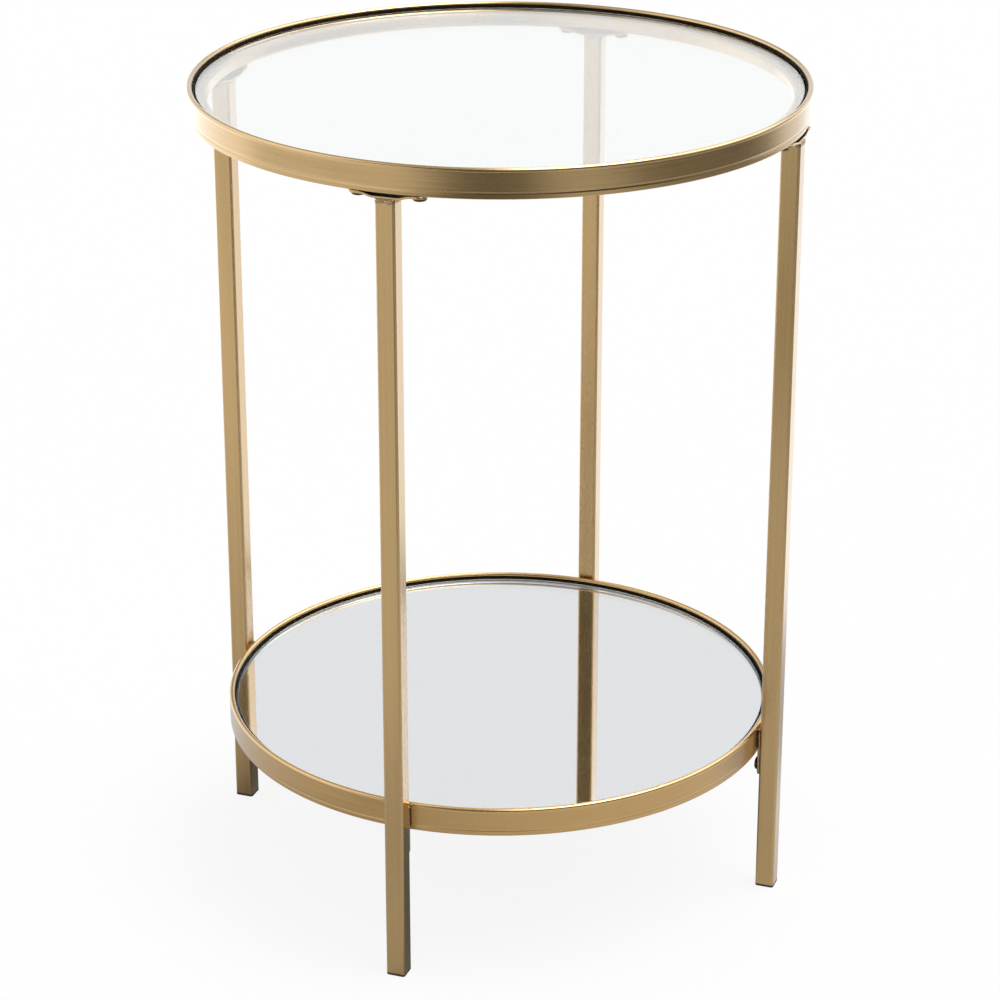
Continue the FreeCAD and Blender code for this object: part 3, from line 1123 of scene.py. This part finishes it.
@dataclass
class TubeLeg:
    """One leg: its square tube, foot plug, pressed plate, shelf tab and welds.

    Every surface is worked out for the right-hand leg, from that leg's own solids, and turned to its side.

    Attributes:
        side: The leg's place.
    """

    side: Side
    corner: float = 1.6 * MM
    mouth: float = 0.25 * MM
    plug_round: float = 0.4 * MM
    plug_flange: float = 1.5 * MM
    plug_break: float = 0.1 * MM
    spigot_side: float = 10.0 * MM
    spigot_lead: float = 1.2 * MM
    spigot_taper: float = 0.7 * MM
    plate_thickness: float = 1.5 * MM
    plate_corner: float = 5.5 * MM
    plate_land: float = 16.5 * MM
    plate_flat: float = 6.95 * MM
    plate_end_share: float = 0.8
    shaded_top_share: float = 0.4
    sheet_edge: float = 0.35 * MM
    end_start: float = 0.05
    end_rows: int = 9
    tab_corner: float = 3.5 * MM
    tab_start: float = 0.02
    weld_radius: float = 0.4 * MM
    weld_drop: float = 3.0
    weld_bulge: float = 0.5
    weld_ripple: float = 0.13
    weld_ripples: int = 40
    ripple_stations: int = 12
    weld_waves: tuple = ((0.12, 5, 0.7), (0.08, 11, 0.0))
    tab_weld_radius: float = 0.6 * MM
    tab_weld_sink: float = 0.35 * MM
    tab_weld_below: float = 4.0 * MM
    tab_weld_above: float = 2.5 * MM
    tab_weld_ripple: float = 0.15
    tab_weld_ripples: int = 7
    taper_power: int = 8
    stations: int = 61

    def right_box(self, piece: str) -> tuple[Vector, Vector, float]:
        """Box of one of the right-hand leg's solids, and its middle's distance from the table's axis."""
        low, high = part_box(f"{piece}_{Side.RIGHT.node}")
        return low, high, (low.x + high.x) / 2

    def stack(self, x: float, levels: Sequence[float], sides: Sequence[float]) -> Surface:
        """Loft through level rounded squares about the leg's centre line.

        Args:
            x: Distance of the centre line from the table's axis.
            levels: Heights of the squares.
            sides: Sides of the squares.

        Returns:
            The closed surface.
        """
        sections, marks = [], []
        for level, side in zip(levels, sides):
            loop, mark = rounded(rectangle(side, side), self.corner)
            sections.append(np.column_stack([loop[:, 0] + x, loop[:, 1], np.full(len(loop), level)]))
            marks.append(mark)
        return lofted(np.array(sections), np.array(marks))

    def tube(self) -> Surface:
        """Leg: a rounded square from plug to plate, slightly broken at its two mouths.

        Returns:
            The closed surface.
        """
        low, high, x = self.right_box("leg")
        side, cut = high.y - low.y, self.mouth
        levels = [low.z, low.z + cut, low.z + 2 * cut, high.z - 2 * cut, high.z - cut, high.z]
        return self.stack(x, levels, [side - 2 * cut, side, side, side, side, side - 2 * cut])

    def plug(self) -> Surface:
        """Foot plug: a flange with a rounded edge and a spigot that narrows at its tip.

        Returns:
            The closed surface.
        """
        low, high, x = self.right_box("foot_plug")
        side, flange, spigot = high.y - low.y, low.z + self.plug_flange, self.spigot_side
        turn = np.linspace(0.0, math.pi / 2, 5)
        levels = [
            *(low.z + self.plug_round * (1 - np.cos(turn))),
            flange - self.plug_break, flange, flange, high.z - self.spigot_lead, high.z,
        ]
        sides = [
            *(side - 2 * self.plug_round * (1 - np.sin(turn))),
            side, side - 2 * self.plug_break, spigot, spigot, spigot - 2 * self.spigot_taper,
        ]
        return self.stack(x, levels, sides)

    def strip(self, width: Array, thickness: float) -> tuple[Array, Array]:
        """Rounded rectangles of one thickness and changing width.

        Args:
            width: One width per station.
            thickness: The sheet's thickness.

        Returns:
            Points by station and step, as (across, up), and their marks.
        """
        loop, mark = rounded(rectangle(1.0, thickness), self.sheet_edge, steps=5)
        inset = 0.5 - np.abs(loop[:, 0])
        across = np.sign(loop[:, 0]) * (width[:, None] / 2 - inset)
        up = np.broadcast_to(loop[:, 1], across.shape)
        return np.stack([across, up], axis=-1), np.broadcast_to(mark, across.shape)

    def end_steps(self, corner: float) -> Array:
        """Distances from a strip's end that step evenly round its corner, starting just inside the end."""
        return corner * (1 - np.cos(np.linspace(self.end_start, math.pi / 2, self.end_rows)))

    @staticmethod
    def end_width(width: float, corner: float, to_end: Array) -> Array:
        """Width of a strip near a rounded end: it narrows along a quarter circle at each corner."""
        into = np.clip(corner - to_end, 0.0, corner)
        return width - 2 * (corner - np.sqrt(corner ** 2 - into ** 2))

    def plate(self) -> Surface:
        """Pressed plate: its middle line drops by half a cosine wave from each land to the flat middle.

        Returns:
            The closed surface, marked for painted shade where its top faces the ring's underside.
        """
        low, high, x = self.right_box("leg_plate")
        half = (high.y - low.y) / 2
        ends, straight = self.end_steps(self.plate_corner), half - self.plate_corner
        middle = np.linspace(-straight, straight, self.stations)[1:-1]
        y = np.concatenate([ends - half, middle, half - ends[::-1]])
        off = np.abs(y)
        width = self.end_width(high.x - low.x, self.plate_corner, half - off)
        drop = high.z - low.z - self.plate_thickness
        fall = np.clip((self.plate_land - off) / (self.plate_land - self.plate_flat), 0.0, 1.0)
        z = high.z - self.plate_thickness / 2 - drop * (1 - np.cos(math.pi * fall)) / 2
        thin = np.where(off > half - self.sheet_edge, self.plate_end_share, 1.0)
        section, marks = self.strip(width, self.plate_thickness)
        across, up = section[..., 0], section[..., 1]
        # Painted shade: the top face under the ring turns near black, as the shade in the gap below the
        # ring.
        shaded_top = (up > self.shaded_top_share * self.plate_thickness) & (off < self.plate_land)[:, None]
        points = [x + across, np.broadcast_to(y[:, None], up.shape), z[:, None] + up * thin[:, None]]
        return lofted(np.stack(points, axis=-1), np.where(shaded_top, -1.0, marks))

    def tab(self) -> Surface:
        """Shelf tab: a flat strip with its two lower corners rounded.

        Returns:
            The closed surface.
        """
        low, high, x = self.right_box("shelf_tab")
        straight = high.z - low.z - self.tab_corner
        rest = self.tab_corner + straight * np.linspace(self.tab_start, 1.0, self.end_rows)
        up = low.z + np.concatenate([self.end_steps(self.tab_corner), rest])
        width = self.end_width(high.y - low.y, self.tab_corner, up - low.z)
        section, marks = self.strip(width, high.x - low.x)
        points = [x + section[..., 1], section[..., 0], np.broadcast_to(up[:, None], marks.shape)]
        return lofted(np.stack(points, axis=-1), marks)

    def top_weld(self) -> Surface:
        """Weld round the leg's top: a bead along the tube's outline, rippled and a little uneven.

        Returns:
            The closed surface.
        """
        low, high, x = self.right_box("leg")
        side = high.y - low.y
        loop, _ = rounded(rectangle(side, side), self.corner)
        closed = np.concatenate([loop, loop[:1]])
        along = np.concatenate([[0.0], np.cumsum(np.linalg.norm(np.diff(closed, axis=0), axis=1))])
        at = np.linspace(0.0, along[-1], self.ripple_stations * self.weld_ripples, endpoint=False)
        path = np.column_stack([np.interp(at, along, closed[:, 0]), np.interp(at, along, closed[:, 1])])
        ahead = np.roll(path, -1, axis=0) - np.roll(path, 1, axis=0)
        ahead /= np.linalg.norm(ahead, axis=1, keepdims=True)
        phase = TURN * at / along[-1]
        uneven = sum(size * np.sin(count * phase + shift) for size, count, shift in self.weld_waves)
        ripple = self.weld_ripple * np.abs(np.sin(self.weld_ripples / 2 * phase))
        radius = self.weld_radius * (1 + ripple + uneven)
        level = high.z - self.weld_drop * radius
        out = self.weld_bulge * np.column_stack([ahead[:, 1], -ahead[:, 0], np.zeros(len(path))])
        down = np.tile([0.0, 0.0, -self.weld_drop], (len(path), 1))
        return bead(np.column_stack([path[:, 0] + x, path[:, 1], level]), out, down, radius)

    def tab_welds(self) -> Surface:
        """Welds beside the tab: upright beads on the hoop's face, rippled and tapered at both ends.

        Returns:
            Two closed surfaces.
        """
        low, high, _ = self.right_box("shelf_tab")
        hoop_low, hoop_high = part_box("lower_ring")
        bottom, top = hoop_low.z + self.tab_weld_above, hoop_high.z - self.tab_weld_below
        share = np.linspace(0.0, 1.0, self.stations)[1:-1, None]
        taper = np.sqrt(np.clip(1 - (2 * share - 1) ** self.taper_power, 0.0, 1.0))
        ripple = self.tab_weld_ripple * np.abs(np.sin(self.tab_weld_ripples * math.pi * share))
        radius = self.tab_weld_radius * taper * (1 + ripple)
        turn = TURN * np.arange(BEAD_STEPS) / BEAD_STEPS
        x = low.x + self.tab_weld_sink + radius * np.cos(turn)
        z = np.broadcast_to(bottom + (top - bottom) * share, x.shape)
        beads = [np.stack([x, edge + radius * np.sin(turn), z], axis=-1) for edge in (low.y, high.y)]
        return joined([lofted(sections, np.zeros(x.shape)) for sections in beads])

    def build(self, shop: Shop) -> None:
        """Builds and dresses the leg's pieces.

        Args:
            shop: The shop that makes the pieces.
        """
        place, turn = self.side.node, self.side.value
        pieces = {
            "leg": (self.tube(), GOLD_UPRIGHT, "gold_metal"),
            "foot_plug": (self.plug(), MouldedPlastic("moulded_plastic"), "dark_plastic"),
            "leg_plate": (self.plate(), GOLD_PLAIN, "gold_metal"),
            # The tab wears the darker gold of painted shade.
            "shelf_tab": (self.tab(), GOLD_SHADED, "gold_metal"),
        }
        for piece, (shape, finish, slot) in pieces.items():
            node = f"{piece}_{place}"
            shop.add(f"dressed_{node}", shape.turned(turn), finish, "frame", slot, node)
        shop.add(f"weld_{place}", self.top_weld().turned(turn), LEG_WELD, "frame", "gold_metal")
        # The tab's welds are near black: painted shade of the crease.
        shop.add(f"tab_welds_{place}", self.tab_welds().turned(turn), SHADED_TAB_WELD, "frame", "gold_metal")


@dataclass
class ScrewSet:
    """Button-head screws with hex sockets and cut threads, all alike.

    Attributes:
        node: The screws' node.
        places: (x, y, z) of each head's seat on the right-hand leg.
        grip: Thickness that the screw clamps.
        outwards: True if the screws point away from the table's axis, False if they point up.
    """

    node: str
    places: Sequence[tuple[float, float, float]]
    grip: float = TubeLeg.plate_thickness
    outwards: bool = False
    shank: float = 2.5 * MM
    length: float = 8.0 * MM
    point: float = 0.5 * MM
    head: float = 4.75 * MM
    head_height: float = 2.75 * MM
    head_edge: float = 0.12 * MM
    head_guard: float = 0.02 * MM
    rim: float = 0.5 * MM
    crown: float = 2.3 * MM
    dome_bow: float = 0.24
    dome_rows: int = 12
    dome_marks: Edge = (0.8, 0.1)
    socket: float = 1.5 * MM
    socket_depth: float = 1.5 * MM
    socket_lead: float = 0.15 * MM
    socket_root: float = 0.1 * MM
    socket_point: float = 0.35 * MM
    socket_sizes: tuple = (1.08, 1.0, 1.0, 0.86)
    socket_marks: tuple = (0.6, 0.0, 0.0, 0.0)
    pitch: float = 0.8 * MM
    thread_depth: float = 0.42 * MM
    columns: int = 48
    thread_rows: int = 70

    def thread(self, height: Array, turn: Array) -> Array:
        """Thread: its radius falls below the shank's by a triangle wave of (height / pitch - turn).

        Args:
            height: Heights of the rows, one column of them.
            turn: Turns of the columns.

        Returns:
            Radii by row and column, run out towards the head and pointed at the tip.
        """
        wave = np.abs(2 * ((height / self.pitch - turn / TURN) % 1.0) - 1)
        fade = np.clip((height - self.grip) / self.pitch, 0.0, 1.0)
        tip = np.clip((height - self.length + self.point) / self.point, 0.0, 1.0)
        return self.shank - self.thread_depth * np.maximum(wave * fade, tip)

    def button(self) -> tuple[Array, Array]:
        """Head: a rounded step out from the shank, then a dome that bows out by half a sine wave.

        Returns:
            One (radius, height) row per point, and one mark per point.
        """
        corners = [(self.shank, self.grip), (self.shank, 0.0), (self.head, 0.0), (self.head, -self.rim)]
        step, step_marks = rounded(corners, self.head_edge, steps=4, closed=False, guard=self.head_guard)
        rise = np.linspace(0.0, 1.0, self.dome_rows)[1:]
        bow = self.dome_bow * np.sin(math.pi * rise) * (self.head_height - self.rim)
        radius = self.head + (self.crown - self.head) * rise + bow
        height = -self.rim - (self.head_height - self.rim) * rise - bow
        marks = np.linspace(*self.dome_marks, len(rise))
        return np.concatenate([step, np.column_stack([radius, height])]), np.concatenate([step_marks, marks])

    def screw(self) -> Surface:
        """One screw along +Z with its head below the origin, in rows from the tip to the socket's floor.

        The socket's radius at turn a is half its width over the cosine of the turn from the nearest flat's
        middle.

        Returns:
            The closed surface.
        """
        turn = TURN * np.arange(self.columns) / self.columns
        flat = TURN / 6
        hexagon = self.socket / np.cos((turn % flat) - flat / 2)
        mouth, floor = -self.head_height, self.socket_depth - self.head_height
        depths = np.array([mouth, mouth + self.socket_lead, floor - self.socket_root, floor])[:, None]
        sizes, rubbed = np.array([self.socket_sizes, self.socket_marks])[:, :, None]
        height = np.linspace(self.length, self.grip, self.thread_rows)[:, None]
        head, head_marks = self.button()
        stretches = [
            (self.thread(height, turn), height, np.zeros(1)),
            (head[:, :1], head[:, 1:], head_marks[:, None]),
            (sizes * hexagon, depths, rubbed),
        ]
        grids = [np.broadcast_arrays(*stretch, turn)[:3] for stretch in stretches]
        radius, heights, marks = (np.concatenate(rows) for rows in zip(*grids))
        return spun_rows(radius, heights, marks, self.length, floor + self.socket_point)

    def build(self, shop: Shop) -> None:
        """Copies the screw to every place on every leg.

        Args:
            shop: The shop that makes the piece.
        """
        one = self.screw()
        if self.outwards:
            one = one.laid_outwards()
        screws = joined([one.moved(place).turned(side.value) for place in self.places for side in Side])
        shop.add(f"threaded_{self.node}", screws, BRONZED_STEEL, "frame", "bronzed_steel", self.node)


@dataclass
class Studio:
    """Pale floor, soft light and the camera.

    The camera, the panes and sharp reflections see the floor and the room white. Blurred reflections, which
    are the metal's, see patches of light and shade there. A patch is a product of smooth steps, and the two
    numbers of a step are the places where it starts and where it ends. On the floor they are metres: side to
    the camera's right, front towards the camera, and away from the table's axis. In the room they are the
    parts of a direction: sideways, forward to the camera, and height.

    Attributes:
        azimuth: Turn of the camera about the table, from looking along +Y.
        distance: The camera's distance from the table's axis.
        height: The camera's height.
        aim: Height of the point on the axis that the camera looks at.
        lens: Focal length for a sensor of 36 mm, in millimetres.
        dome: Strength of the even light from all sides.
        veil: How far the floor's white covers its shadows.
    """

    azimuth: float = math.radians(19.85)
    distance: float = 2.0
    height: float = 1.098
    aim: float = 0.2569
    lens: float = 115.85
    sensor: float = 36.0
    floor_size: float = 12.0
    floor_colour: Colour = (0.93, 0.93, 0.925, 1.0)
    veil: float = 0.88
    dome: float = 0.66
    lamp: float = 1.4
    lamp_angle: float = math.radians(50.0)
    lamp_rise: float = math.radians(62.0)
    lean_slope: float = 0.3
    strip_loss: float = 0.3
    lean_loss: float = 0.42
    corner_gain: float = 0.63
    beside_level: float = 0.6
    right_level: float = 0.25
    back_level: float = 1.2
    spot_loss: float = 0.85
    rear_level: float = 1.5
    pool_loss: float = 0.45
    wing_gain: float = 0.22
    left_break: float = 0.6
    near_loss: float = 0.4
    near_fades: Edge = (0.3, 0.1)
    foot_place: float = 0.14
    under_loss: float = 0.7
    centre_level: float = 0.6
    room_loss: float = 0.9
    low_right_loss: float = 0.8
    overhead_level: float = 0.5
    softbox: float = 3.5
    softbox_gap: float = 0.4
    second_softbox: float = 1.9
    glow_gain: float = 0.8
    turn_shift: float = 0.93

    @property
    def towards(self) -> Vector:
        """Level direction from the table to the camera."""
        return Vector((math.sin(self.azimuth), -math.cos(self.azimuth), 0.0))

    @property
    def across(self) -> Vector:
        """Level direction to the camera's right."""
        return Vector((math.cos(self.azimuth), math.sin(self.azimuth), 0.0))

    @property
    def lamp_direction(self) -> Vector:
        """Direction to the lamp, which stands high on the camera's right."""
        return self.across * math.cos(self.lamp_rise) + Vector((0.0, 0.0, math.sin(self.lamp_rise)))

    def camera(self) -> None:
        """Sets up the camera, without shift."""
        data = bpy.data.cameras.new("camera")
        data.lens = self.lens
        data.sensor_width = self.sensor
        made = bpy.data.objects.new("camera", data)
        made.location = self.towards * self.distance + Vector((0.0, 0.0, self.height))
        gaze = Vector((0.0, 0.0, self.aim)) - made.location
        made.rotation_euler = gaze.to_track_quat("-Z", "Y").to_euler()
        bpy.context.scene.collection.objects.link(made)
        bpy.context.scene.camera = made

    def far_floor(self, bench: NodeBench, side: Shade, front: Shade, away: Shade) -> Shade:
        """Painted shade of the far floor: dim to the front and right, with a light corner, and light behind.

        Args:
            bench: The floor's tree.
            side: Distance to the camera's right.
            front: Distance towards the camera.
            away: Distance from the table's axis.

        Returns:
            How light the floor is, where 1 is white.
        """
        step, fall = bench.smooth, bench.fall
        back = -1.0 * front
        lean = side + self.lean_slope * front
        strip = step(side, -1.5, -0.4) * step(front, 1.0, 1.5)
        corner = step(side, 0.15, 0.9) * step(front, 0.9, 1.3)
        dim = 1.0 - self.strip_loss * strip - self.lean_loss * step(lean, -0.7, 0.2)
        dim = dim + self.corner_gain * corner
        dim = dim.to(self.beside_level, step(side, 0.4, 0.8) * fall(front, 0.5, 0.9))
        dim = dim.to(self.right_level, step(side, 1.15, 1.6))
        dim = dim.to(self.back_level, step(back, 0.45, 1.15))
        far_right = step(away, 0.55, 0.9) * step(side, 0.35, 0.6)
        shade = 1.0 + (dim - 1.0) * bench.most(step(away, 0.8, 1.4), far_right)
        spot = step(lean, -0.35, -0.05) * fall(side, 0.2, 0.5) * step(front, 0.3, 0.6)
        spot = spot * step(away, 0.84, 1.0) * fall(away, 1.3, 1.6)
        shade = shade * (1.0 - self.spot_loss * spot)
        return shade.to(self.rear_level, step(back, 0.05, 0.4) * fall(side, 1.0, 1.5))

    def near_floor(self, bench: NodeBench, side: Shade, front: Shade, away: Shade, foot: Shade) -> Shade:
        """Near floor: painted shadow under the shelf, its front and the left; painted light further left.

        Args:
            bench: The floor's tree.
            side: Distance to the camera's right.
            front: Distance towards the camera.
            away: Distance from the table's axis.
            foot: Distance from a place under the front of the shelf.

        Returns:
            A factor for the far floor's shade.
        """
        step, fall = bench.smooth, bench.fall
        left, back = -1.0 * side, -1.0 * front
        pool = step(side, 0.25, 0.33) * step(back, -0.1, 0.05) * fall(away, 0.42, 0.6)
        wing = step(left, 0.55, 0.75) * fall(front, 0.7, 0.95)
        wing = bench.most(wing, step(left, 0.6, 0.9) * step(front, 1.3, 1.6)) * fall(left, 1.7, 2.1)
        shade = (1.0 - self.pool_loss * pool) * (1.0 + self.wing_gain * wing)
        near_left = step(left, -0.25, 0.35) * (1.0 - self.left_break * step(left, 0.24, 0.36))
        near = self.near_loss - self.near_fades[0] * step(away, 0.35, 0.65)
        near = near - self.near_fades[1] * step(away, 0.6, 0.95)
        shade = shade * (1.0 - near * near_left)
        under = fall(away, 0.20, 0.30) * fall(front, 0.0, 0.08)
        under = under * step(side, -0.25, -0.15) * fall(side, 0.12, 0.20)
        under = bench.most(bench.most(under, fall(foot, 0.07, 0.095)), fall(away, 0.13, 0.18))
        centre = self.centre_level + (1.0 - self.centre_level) * step(away, 0.10, 0.30)
        return shade * (1.0 - self.under_loss * under) * centre

    def floor(self, shop: Shop) -> None:
        """Lays the floor, which glows for blurred reflections with painted light and shade; all else sees
        white.

        Args:
            shop: The shop that makes the sheet.
        """
        half = self.floor_size / 2
        points = np.array([[-half, -half, 0.0], [half, -half, 0.0], [half, half, 0.0], [-half, half, 0.0]])
        sheet = shop.mesh("floor", Surface(points, np.array([[0, 1, 2, 3]])))
        material = bpy.data.materials.new("pale_floor")
        material.use_nodes = True
        bench = NodeBench(material.node_tree)
        place = bench.place()
        side = bench.vector("DOT_PRODUCT", place, self.across)
        front = bench.vector("DOT_PRODUCT", place, self.towards)
        away = bench.vector("DISTANCE", place, (0.0, 0.0, 0.0))
        foot = bench.vector("DISTANCE", place, self.towards * self.foot_place)
        shade = self.far_floor(bench, side, front, away) * self.near_floor(bench, side, front, away, foot)
        shade = shade.to(1.0, bench.ray("Singular"))
        lit = bench.node("ShaderNodeBsdfDiffuse", None, {"Color": self.floor_colour})
        white = bench.node("ShaderNodeEmission", None, {"Color": WHITE, "Strength": 1.0})
        # Painted light and shade: the floor glows for blurred reflections, with a painted shadow under the
        # shelf.
        mirrored = bench.node("ShaderNodeEmission", None, {"Color": self.floor_colour, "Strength": shade})
        veil = self.veil * bench.most(bench.ray("Camera"), bench.ray("Transmission"))
        shown = bench.mix_shaders(veil, lit, white)
        bench.surface(bench.mix_shaders(bench.ray("Glossy"), shown, mirrored))
        sheet.data.materials.append(material)

    def room(self, bench: NodeBench, sideways: Shade, forward: Shade, height: Shade) -> Shade:
        """Room in blurred reflections: two softboxes above, dark behind the camera and low on the right.

        Args:
            bench: The world's tree.
            sideways: A direction's part to the camera's right.
            forward: Its part towards the camera.
            height: Its upright part.

        Returns:
            How light the room is, where 1 is white.
        """
        step, fall = bench.smooth, bench.fall
        low_left = fall(height, 0.1, 0.25) * fall(sideways, -0.7, -0.2)
        dark = step(forward, 0.2, 0.7) * fall(height, 0.45, 0.75) * (1.0 - low_left)
        low_right = fall(height, 0.12, 0.3) * step(sideways, 0.25, 0.6) * step(forward, -0.8, -0.5)
        wings = self.overhead_level + step(sideways * sideways, 0.05, 0.4)
        wings = bench.most(wings, fall(height, 0.3, 0.45)) * (1.0 - self.low_right_loss * low_right)
        turn = sideways / (forward + self.turn_shift)
        first = step(turn, -0.03, 0.1) * fall(turn, 0.5, 0.66)
        second = step(turn, 0.85, 1.1)
        gap = step(turn, 0.55, 0.68) - second
        boxes = step(height, 0.52, 0.68) * (self.softbox * first - self.softbox_gap * gap)
        boxes = boxes + self.second_softbox * second * step(height, 0.42, 0.58)
        return wings * (1.0 - self.room_loss * dark) + boxes

    def world(self) -> None:
        """Lights the scene evenly; blurred reflections see the room, and all else sees white.

        Metal in the mirror also sees a glow through the mirror's glass, behind the table's right.
        """
        world = bpy.data.worlds.new("studio")
        world.use_nodes = True
        bpy.context.scene.world = world
        bench = NodeBench(world.node_tree)
        gaze = bench.node("ShaderNodeTexCoord", output="Generated")
        ways = (self.across, self.towards, (0.0, 0.0, 1.0))
        sideways, forward, height = (bench.vector("DOT_PRODUCT", gaze, way) for way in ways)
        camera, glossy, through = (bench.ray(kind) for kind in ("Camera", "Glossy", "Transmission"))
        mirrored = self.room(bench, sideways, forward, height).to(1.0, bench.ray("Singular"))
        bounces = bench.node("ShaderNodeLightPath", output="Glossy Depth")
        twice = bench.smooth(bounces, 1.2, 1.8)
        glow = bench.smooth(sideways, 0.35, 0.6) * bench.fall(forward, -0.55, -0.3) * twice
        seen = bench.most(camera, through * (1.0 + self.glow_gain * glow))
        seen = bench.most(seen, glossy * mirrored)
        shown = bench.most(camera, bench.most(through, glossy))
        strength = seen + (1.0 - shown) * self.dome
        background = bench.node("ShaderNodeBackground", None, {"Color": WHITE, "Strength": strength})
        bench.node("ShaderNodeOutputWorld", None, {"Surface": background})

    def lamp_overhead(self) -> None:
        """Hangs one broad soft lamp above the table, which isn't seen through the panes."""
        data = bpy.data.lights.new("soft_overhead", "SUN")
        data.energy = self.lamp
        data.angle = self.lamp_angle
        made = bpy.data.objects.new("soft_overhead", data)
        made.rotation_euler = self.lamp_direction.to_track_quat("Z", "Y").to_euler()
        made.visible_transmission = False
        bpy.context.scene.collection.objects.link(made)

    def build(self, shop: Shop) -> None:
        """Sets up the floor, the light and the camera.

        Args:
            shop: The shop that makes the floor's sheet.
        """
        self.floor(shop)
        self.world()
        self.lamp_overhead()
        self.camera()
        bpy.context.scene.view_settings.view_transform = "Standard"


def screw_places() -> tuple[list, list]:
    """Seats of the screw heads on the right-hand leg.

    Returns:
        Those of the two screws under its plate, and that of the screw behind its shelf tab.
    """
    plate_low, plate_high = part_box("leg_plate_right")
    tab_low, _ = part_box("shelf_tab_right")
    from_end, above_end = 5.5 * MM, 6.8 * MM
    line = (plate_low.x + plate_high.x) / 2
    seat = plate_high.z - TubeLeg.plate_thickness
    plate = [(line, plate_low.y + from_end, seat), (line, plate_high.y - from_end, seat)]
    return plate, [(tab_low.x, 0.0, tab_low.z + above_end)]


def main() -> None:
    """Builds the table's sub-assemblies and the studio."""
    logging.basicConfig(level=logging.INFO, format="%(name)s: %(message)s")
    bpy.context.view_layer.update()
    shop = Shop()
    top_seam, lower_seam = math.radians(137.7), math.radians(-35.5)
    top_pads, shelf_pads = 191.1 * MM, 177.4 * MM
    plate_screws, tab_screws = screw_places()
    parts = [
        # The top hoop's painted shade on its lip's inner wall starts higher.
        RolledHoop("top_ring", top_seam, GOLD_AROUND, painted_shade_drop=1.5 * MM),
        RolledHoop("lower_ring", lower_seam, GOLD_WARM),
        LoosePane("glass_top", "glass", "clear_glass", TOP_GLASS),
        LoosePane("mirror_shelf", "mirror", "mirror", MIRROR_GLASS, film=0.5 * MM),
        PadSet("glass_pads", top_pads),
        PadSet("mirror_pads", shelf_pads),
        *(TubeLeg(side) for side in Side),
        ScrewSet("top_ring_screws", plate_screws),
        ScrewSet("shelf_screws", tab_screws, outwards=True),
        Studio(),
    ]
    for part in parts:
        part.build(shop)
    for node in ("top_ring_inserts", "leg_inserts"):
        shop.dress(node, ZINC_STEEL)


if __name__ == "__main__":
    main()
